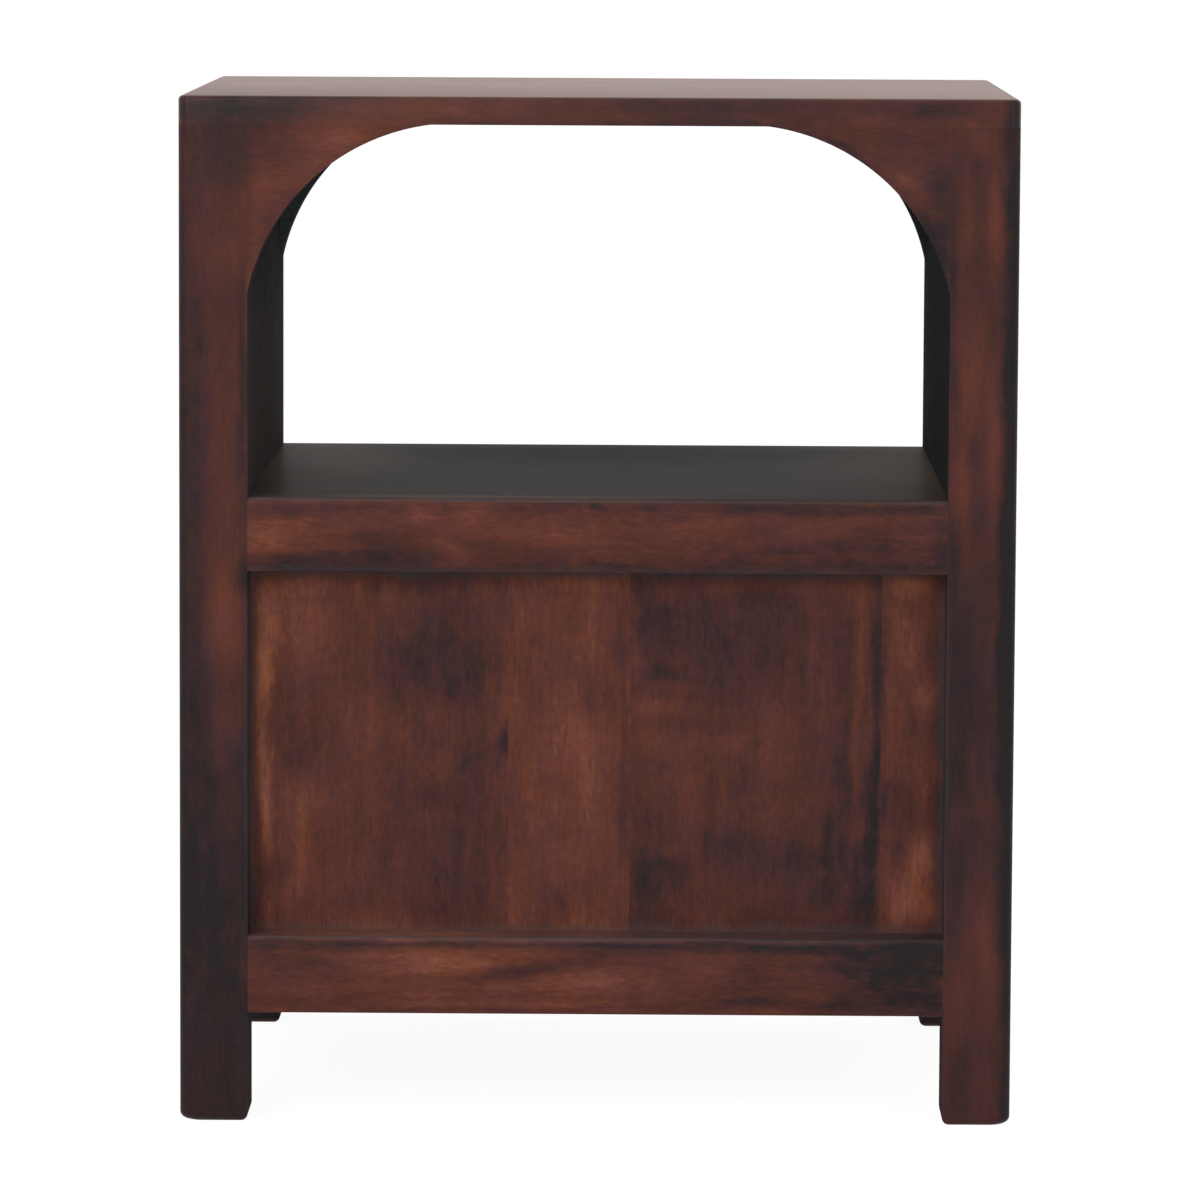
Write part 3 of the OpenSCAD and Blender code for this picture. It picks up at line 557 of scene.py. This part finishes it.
# The side panels are single boards in grooves, set back from the legs as the back panel is.
# Their inner faces line the open shelf and are painted almost black as shade.

side_panel_stain = wood("side_panel_stain", "z", 0.50)
for name in ("side_panel_left", "side_panel_right"):
    outward = math.copysign(1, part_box(name)[1].x)
    panel = nodes[name]
    panel.material_slots[0].material = side_panel_stain
    panel.data.materials.append(inner_painted_shade)
    for face in panel.data.polygons:
        face.material_index = int(face.normal.x * outward < -FACING)


# The shelf board is tongued into the rails at both ends of its depth and rests on two bearers.
# Its stain is the same, but dull and greyed, because it was left unpolished.

SHELF_STAIN = [
    (0.0, (0.0040, 0.0035, 0.0040)),
    (0.5, (0.0140, 0.0100, 0.0100)),
    (1.0, (0.0500, 0.0280, 0.0230)),
    (1.25, (0.0800, 0.0540, 0.0400)),
]

# Painted light on the shelf at both ends, by the side walls, and along the rear rail's level top; darker in
# the middle towards the front
shelf_marks = [
    ((0.18, -0.05, 0.34), (0.06, 0.14, 0.02), 0, 1.2), ((-0.18, -0.02, 0.34), (0.06, 0.16, 0.02), 0, 0.7),
    ((0, -0.11, 0.34), (0.12, 0.06, 0.02), 0, -0.8), ((0.01, 0.04, 0.34), (0.09, 0.08, 0.02), 0, -0.4),
    ((0.09, 0.178, 0.34), (0.11, 0.012, 0.02), 0, 0.6), ((-0.02, 0.178, 0.34), (0.10, 0.012, 0.02), 0, 0.2),
]
# Things put on the shelf have rubbed the polish off its middle
shelf_buffed = [
    ((0, -0.10, 0.34), (0.13, 0.08, 0.02), 0, -0.5), ((0.17, -0.07, 0.34), (0.05, 0.08, 0.02), 0, 0.4),
]
shelf_stain = wood(
    "shelf_stain", "x", 0.62, shelf_marks, colours=SHELF_STAIN, gloss=0.75, shine=0.05, polish=0.07,
    buffed=shelf_buffed,
)
nodes["shelf_board"].material_slots[0].material = shelf_stain


# The rails at shelf height close the case below the open shelf, at the rear and at the front.
# Their upper edge is well rounded, because hands and books pass over it.
# The rear one has a dark flame in its lower half, and a paler block by the right leg.

SHELF_EDGE = 4 * MM
# The shelf's stain runs on over the level top of the rails, and dust with a painted highlight lies on their
# rounded edge
LEVEL = 0.97
SLOPING = 0.45

# Grain and tone on the rear rail, with painted highlight and painted shade along its rounded upper edge, and
# darker along its lower edge
mid_rail_marks = on_rear(rear_y, [
    (178, 320, 14, 12, 0.26), (150, 325, 20, 6, 0.12), (74, 328, 18, 8, 0.16), (95, 332, 9, 5, 0.20),
    (81, 333, 4, 5, -0.14), (162, 333, 22, 4, -0.22), (128, 338, 22, 4, -0.12), (136, 303, 46, 7, -0.32),
    (174, 305, 16, 5, -0.16), (116, 315, 15, 6, -0.28), (76, 311, 14, 4, 0.14, -24),
    (58, 312, 10, 4, -0.10), (30, 305, 50, 3, -0.16), (30, 321, 26, 8, 0.12), (38, 313, 34, 4, -0.14),
    (2, 337, 4, 3, -0.20), (0, 320, 26, 6, 0.12), (-52, 323, 22, 5, 0.16), (-92, 311, 24, 4, -0.26),
    (-60, 303, 80, 4, -0.22), (-100, 336, 60, 4, -0.34), (-125, 313, 14, 5, -0.20),
    (-118, 323, 18, 5, 0.14), (-146, 314, 18, 10, -0.22), (-145, 333, 10, 4, -0.16),
    (-158, 327, 9, 5, -0.10), (-174, 337, 18, 3, -0.28), (-176, 306, 10, 8, -0.20),
    (-186, 317, 6, 14, -0.32), (-150, 303, 40, 4, -0.18), (88, 308, 7, 7, -0.16), (0, 300, 200, 2.5, -0.30),
    (16, 336, 32, 4, -0.26), (-76, 332, 14, 4, -0.10), (128, 316, 12, 4, -0.12), (150, 340, 44, 3, 0.16),
])
# Grey painted haze on the rail's lower edge and underside, in the shaded recess
rail_haze = on_rear(ledge_y, [(0, 300, 300, 3, 0.34)], reach=14)
for name in ("mid_rail_rear", "mid_rail_front"):
    low, high = between_legs(name)
    rail = sawn(low, high)
    outer_y = outer(low.y, high.y)
    ease(rail, SHELF_EDGE, 6, long_edge(outer_y, high.z))
    ease(rail, ARRIS, 2, long_edge(outer_y, low.z))
    marks = mid_rail_marks if name == "mid_rail_rear" else ()
    stain = wood(name + "_stain", "x", 0.57, marks, painted_haze=rail_haze if marks else ())
    finished(
        rail, name, stain, shelf_stain, dust_and_highlight,
        pick=lambda way, at: 1 if way.z > LEVEL else 2 if way.z > SLOPING else 0,
    )


# The upper side rails join the legs under the top board, flush with them outside.
# They are of the same stained wood as the bottom side rails, and tenoned into the legs like them.

for name in ("top_rail_left", "top_rail_right"):
    low, high = between_legs(name)
    rail = sawn(low, high)
    outer_x = outer(low.x, high.x)
    ease(rail, ARRIS, 2, lambda at, way: same(abs(way.y), 1) and same(at.x, outer_x) and same(at.z, low.z))
    finished(rail, name, side_rail_stain)


# The divider rail separates the two drawers at the front, tenoned into both front legs.
# The upper drawer runs on it and on the runners behind it.

low, high = between_legs("divider_rail")
divider = sawn(low, high)
ease(divider, ARRIS, 2, lambda at, way: same(abs(way.x), 1) and same(at.y, low.y))
finished(divider, "divider_rail", wood("divider_stain", "x", 0.50))


# The floor board, the runners, the bearers, the cleats and the stops are plain unstained hardwood.
# They are planed and screwed in place inside the case, where only an open drawer shows them.

BARE_WOOD = [
    (0.0, (0.170, 0.084, 0.038)),
    (0.5, (0.370, 0.210, 0.108)),
    (1.0, (0.560, 0.370, 0.220)),
]

bare_along_y = wood("bare_wood_along_y", "y", 0.5, colours=BARE_WOOD, mottled=0.7, figure=0.15, gloss=0.6)
bare_along_x = wood("bare_wood_along_x", "x", 0.5, colours=BARE_WOOD, mottled=0.7, figure=0.15, gloss=0.6)
for name in ("runner_left", "runner_right", "shelf_bearer_left", "shelf_bearer_right",
             "floor_cleat_left", "floor_cleat_right"):
    nodes[name].material_slots[0].material = bare_along_y
for name in ("floor_board", "drawer_stops", "frame_dowels"):
    nodes[name].material_slots[0].material = bare_along_x


# The countersunk screws go through the strips into the case, and a bolt holds each knob from inside.
# They are zinc-plated steel, and show only with a drawer out.

def plated(name):
    """Brushed zinc with small cloudy patches."""
    material = bpy.data.materials.new(name)
    material.use_nodes = True
    tree = material.node_tree
    shader = tree.nodes["Principled BSDF"]
    place = Wire(tree).node("ShaderNodeTexCoord", output="Object")
    cloud = noise(place, "x", 900, 300, 3)
    zinc = [(0.3, (0.42, 0.42, 0.43)), (0.7, (0.62, 0.61, 0.59))]
    colour = cloud.node("ShaderNodeValToRGB", {"stops": zinc}, {"Fac": cloud})
    tree.links.new(colour.socket, shader.inputs["Base Color"])
    tree.links.new((0.22 + cloud * 0.3).socket, shader.inputs["Roughness"])
    shader.inputs["Metallic"].default_value = 1.0
    return material


zinc_plate = plated("zinc_plate")
for name in ("strip_screws", "upper_knob_bolt", "lower_knob_bolt"):
    nodes[name].material_slots[0].material = zinc_plate


# The arch brackets fill the upper corners of the open shelf, at the rear and at the front.
# Each is sawn from a thick offcut, doweled to the leg and the top board, and sanded flush with both.

ARCH_RADIUS = 115 * MM

# A lighter grey copy of the painted inner shade, for the brackets' faces that look into the case, standing in
# for the light that reaches them
LIT_INNER_SHADE = [(0.0, (0.056, 0.070, 0.078)), (1.0, (0.120, 0.130, 0.138))]

# Painted shade, deepest near the top of the front left bracket
bracket_shade = [((-0.17, -0.12, 0.48), (0.08, 0.1, 0.08), 0, -0.6)]
lit_inner_shade = wood("lit_inner_shade", "x", 0.4, bracket_shade, colours=LIT_INNER_SHADE, gloss=0.95, shine=0.02)
bracket_finish = {
    "arch_bracket_rear_right": (0.47, corner_marks["right"]),
    "arch_bracket_rear_left": (0.45, corner_marks["left"]),
    "arch_bracket_front_left": (0.45, []),
    "arch_bracket_front_right": (0.45, []),
}


def arch_centre(low, high, out):
    """The centre of the arc through the bracket's two tips, on the side of the open shelf."""
    wide, tall = high.x - low.x, high.z - low.z
    chord = math.hypot(wide, tall)
    off = math.sqrt(ARCH_RADIUS ** 2 - chord ** 2 / 4)
    middle = (low + high) / 2
    return Vector((middle.x - out * off * tall / chord, 0, middle.z - off * wide / chord))


for name, (tone, marks) in bracket_finish.items():
    low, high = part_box(name)
    out = math.copysign(1, high.x)
    leg_side = outer(low.x, high.x)
    tip_side = min(low.x, high.x, key=abs)
    centre = arch_centre(low, high, out)
    upper = Vector((tip_side, 0, high.z)) - centre
    lower = Vector((leg_side, 0, low.z)) - centre
    sweep = upper.angle(lower)
    bracket = bmesh.new()
    start = bracket.verts.new((tip_side, low.y, high.z))
    bmesh.ops.spin(
        bracket, geom=[start], cent=centre, axis=(0, out, 0), angle=sweep, steps=40, use_duplicate=False
    )
    bracket.verts.new((leg_side, low.y, high.z))
    bracket.faces.new(bracket.verts)
    drawn = bmesh.ops.extrude_face_region(bracket, geom=bracket.faces[:])
    far_side = [item for item in drawn["geom"] if isinstance(item, bmesh.types.BMVert)]
    bmesh.ops.translate(bracket, vec=(0, high.y - low.y, 0), verts=far_side)
    stain = wood(name + "_stain", "x", tone, marks, mottled=0.8, grainy=0.5)
    outside = math.copysign(1, high.y)
    # The outer face takes the stain, the arch and the hidden faces the near-black painted shade, and the face
    # looking into the case its lighter grey copy
    finished(
        bracket, name, stain, inner_painted_shade, lit_inner_shade,
        pick=lambda way, at: 0 if way.y * outside > FACING else 2 if way.y * outside < -FACING else 1,
    )


# The top board is one thick board over the legs, flush with them all round, held by dowels from below.
# Its upper edges are lightly rounded. It is the only polished face, so it mirrors the light around it.

TOP_EDGE = 2.5 * MM

# The top board's marks: both rear corners' stain, painted highlights and painted shade, with more tone along
# the rear edge, darker at its rounded ends
top_marks = corner_marks["right"] + corner_marks["left"] + on_rear(rear_y, [
    (182, 551, 24, 7, -0.12), (106, 547, 26, 8, 0.16), (48, 548, 14, 7, 0.16), (76, 547, 10, 6, 0.26),
    (77, 544, 8, 3, -0.20), (60, 541, 12, 2, -0.16), (-30, 541, 60, 2, -0.16), (-50, 548, 30, 8, -0.16),
    (-24, 552, 40, 5, -0.08), (-105, 547, 12, 6, 0.08), (180, 556, 50, 2, -0.14), (-224, 548, 6, 20, -0.40),
    (222, 548, 5, 20, -0.10), (-12, 544, 10, 4, 0.14), (-219, 540, 4, 16, -0.20), (-200, 545, 8, 5, 0.08),
], reach=12)
low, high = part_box("top_board")
top = sawn(low, high)
ease(top, LEG_CORNER, 8, lambda at, way: same(abs(way.z), 1))
ease(top, TOP_EDGE, 4, lambda at, way: same(at.z, high.z))
top_stain = wood("top_stain", "x", 0.47, top_marks, mottled=0.8, grainy=0.5, gloss=0.36, bloom=0.16)
finished(top, "top_board", top_stain, slot="top_wood")


# Each drawer is a solid front with two sides dovetailed into its back, a back board and a thin bottom.
# The front is stained like the case, and the box behind it is bare wood.

for drawer in ("upper", "lower"):
    front_stain = wood(drawer + "_front_stain", "x", 0.56, figure=0.16)
    nodes[drawer + "_drawer_front"].material_slots[0].material = front_stain
    for name in ("side_left", "side_right"):
        nodes[f"{drawer}_drawer_{name}"].material_slots[0].material = bare_along_y
    for name in ("back", "bottom"):
        nodes[f"{drawer}_drawer_{name}"].material_slots[0].material = bare_along_x


# Each front has a turned knob of the same stained wood in its middle: a foot, a hollow neck and a dome.
# A steel bolt from inside the drawer holds it.

KNOB_FOOT = 10 * MM
FOOT_HEIGHT = 1.5 * MM
# The profile has three arcs. These are their centres, and how far each of them turns in degrees
NECK = Vector((14.8 * MM, 0, 7.9 * MM))
RIM = Vector((10 * MM, 0, 18.8 * MM))
DOME = Vector((0, 0, -14 * MM))
NECK_SWEEP = 146.35
RIM_SWEEP = 82.65
DOME_SWEEP = 19.82

knob_stain = wood("knob_stain", "y", 0.50, gloss=0.4)
for drawer in ("upper", "lower"):
    name = drawer + "_knob"
    low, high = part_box(name)
    knob = bmesh.new()
    foot = [knob.verts.new((x, 0, z)) for x, z in ((0, 0), (KNOB_FOOT, 0), (KNOB_FOOT, FOOT_HEIGHT))]
    for start, end in zip(foot, foot[1:]):
        knob.edges.new((start, end))
    tip = foot[-1]
    for centre, sweep, steps in ((NECK, NECK_SWEEP, 20), (RIM, -RIM_SWEEP, 14), (DOME, -DOME_SWEEP, 8)):
        arc = bmesh.ops.spin(
            knob, geom=[tip], cent=centre, axis=(0, 1, 0), angle=math.radians(sweep), steps=steps,
            use_duplicate=False,
        )
        tip = next(item for item in arc["geom_last"] if isinstance(item, bmesh.types.BMVert))
    tip.co.x = 0
    bmesh.ops.spin(
        knob, geom=knob.verts[:] + knob.edges[:], cent=(0, 0, 0), axis=(0, 0, 1), angle=math.tau, steps=64,
        use_merge=True, use_duplicate=False,
    )
    bmesh.ops.remove_doubles(knob, verts=knob.verts, dist=TOUCH)
    bmesh.ops.rotate(knob, verts=knob.verts, cent=(0, 0, 0), matrix=Matrix.Rotation(math.pi / 2, 3, "X"))
    middle = (low + high) / 2
    bmesh.ops.translate(knob, verts=knob.verts, vec=(middle.x, high.y, middle.z))
    finished(knob, name, knob_stain, body=drawer + "_drawer", slot="drawer_wood")


# The studio is a white floor that keeps a soft shadow, and a white surround.
# Two large soft lamps stand on the side of the panelled back, and a third hangs overhead.

# The camera sees a floor that glows white and keeps a faint shadow, and the piece is lit by a plain matt one
FLOOR_GLOW = 0.93
FLOOR_SHADE = 0.22
FLOOR_MATT = 0.75
FLOOR_RADIUS = 40

floor = bmesh.new()
bmesh.ops.create_circle(floor, cap_ends=True, radius=FLOOR_RADIUS, segments=64)
floor_mesh = bpy.data.meshes.new("studio_floor")
floor.to_mesh(floor_mesh)
floor.free()
studio_floor = bpy.data.objects.new("studio_floor", floor_mesh)
bpy.context.scene.collection.objects.link(studio_floor)
studio_floor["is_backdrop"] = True


def seen(start):
    """1 for what the camera sees, also mirrored or through glass, and 0 for light on the nightstand."""
    rays = [start.node("ShaderNodeLightPath", output=name) for name in
            ("Is Camera Ray", "Is Glossy Ray", "Is Transmission Ray")]
    either = rays[0].node("ShaderNodeMath", {"operation": "MAXIMUM"}, {0: rays[0], 1: rays[1]})
    return either.node("ShaderNodeMath", {"operation": "MAXIMUM"}, {0: either, 1: rays[2]})


floor_paint = bpy.data.materials.new("floor_paint")
floor_paint.use_nodes = True
tree = floor_paint.node_tree
tree.nodes.clear()
start = Wire(tree)
matt = start.node("ShaderNodeBsdfDiffuse", {}, {"Color": (FLOOR_MATT,) * 3 + (1,)})
shade = start.node("ShaderNodeBsdfDiffuse", {}, {"Color": (FLOOR_SHADE,) * 3 + (1,)})
glow = start.node("ShaderNodeEmission", {}, {"Color": (1, 1, 1, 1), "Strength": FLOOR_GLOW})
white = start.node("ShaderNodeAddShader", {}, {0: shade, 1: glow})
paint = start.node("ShaderNodeMixShader", {}, {0: seen(start), 1: matt, 2: white})
out = tree.nodes.new("ShaderNodeOutputMaterial")
tree.links.new(paint.socket, out.inputs["Surface"])
floor_mesh.materials.append(floor_paint)

# How bright the surround is as a light, where what the camera sees of it is 1
SKY = 0.45

world = bpy.data.worlds.new("studio")
bpy.context.scene.world = world
world.use_nodes = True
tree = world.node_tree
tree.nodes.clear()
start = Wire(tree)
sky = start.node("ShaderNodeBackground", {}, {"Color": (1, 1, 1, 1), "Strength": SKY})
backdrop = start.node("ShaderNodeBackground", {}, {"Color": (1, 1, 1, 1), "Strength": 1.0})
around = start.node("ShaderNodeMixShader", {}, {0: seen(start), 1: sky, 2: backdrop})
out = tree.nodes.new("ShaderNodeOutputWorld")
tree.links.new(around.socket, out.inputs["Surface"])


def lamp(name, place, aim, size, level):
    """A square soft lamp that lights a white card at its aim to the given level."""
    light = bpy.data.lights.new(name, "AREA")
    light.shape = "SQUARE"
    light.size = size
    away = Vector(place) - Vector(aim)
    light.energy = level * math.pi ** 2 * away.length_squared
    holder = bpy.data.objects.new(name, light)
    holder.matrix_world = Matrix.Translation(place) @ away.to_track_quat("Z", "Y").to_matrix().to_4x4()
    bpy.context.scene.collection.objects.link(holder)


LAMP_AIM = (0, 0, 0.28)

lamp("key", (1.5, 3.4, 1.9), LAMP_AIM, size=2.2, level=0.42)
lamp("fill", (-2.2, 3.0, 0.7), LAMP_AIM, size=2.2, level=0.22)
lamp("overhead", (0.0, 0.4, 3.2), LAMP_AIM, size=2.4, level=0.25)


# The camera stands behind the nightstand, a little above it and far away, as for a catalogue picture.
# Its place, its aim and its long lens were fitted to the outline of the legs, rails and top.

CAMERA_PLACE = Vector((-0.0305, 3.7569, 0.6719))
# How far it turns to the side and down, and how far it leans, in radians
LOOK_SIDE = 0.0081
LOOK_DOWN = 0.1078
TILT = 0.005
# In millimetres, as on a film camera
LENS = 200.46
SENSOR = 36
# It sees what lies between these distances
NEAREST = 0.1
FARTHEST = 200

ahead = Vector((
    math.sin(LOOK_SIDE) * math.cos(LOOK_DOWN),
    -math.cos(LOOK_SIDE) * math.cos(LOOK_DOWN),
    -math.sin(LOOK_DOWN),
))
level_right = ahead.cross(Vector((0, 0, 1))).normalized()
level_up = level_right.cross(ahead)
right = level_right * math.cos(TILT) + level_up * math.sin(TILT)
up = level_up * math.cos(TILT) - level_right * math.sin(TILT)
turned = Matrix((right, up, -ahead)).transposed().to_4x4()
lens = bpy.data.cameras.new("camera")
lens.lens = LENS
lens.sensor_width = SENSOR
lens.clip_start = NEAREST
lens.clip_end = FARTHEST
camera = bpy.data.objects.new("camera", lens)
camera.matrix_world = Matrix.Translation(CAMERA_PLACE) @ turned
bpy.context.scene.collection.objects.link(camera)
bpy.context.scene.camera = camera
bpy.context.scene.view_settings.view_transform = "Standard"

low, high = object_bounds()
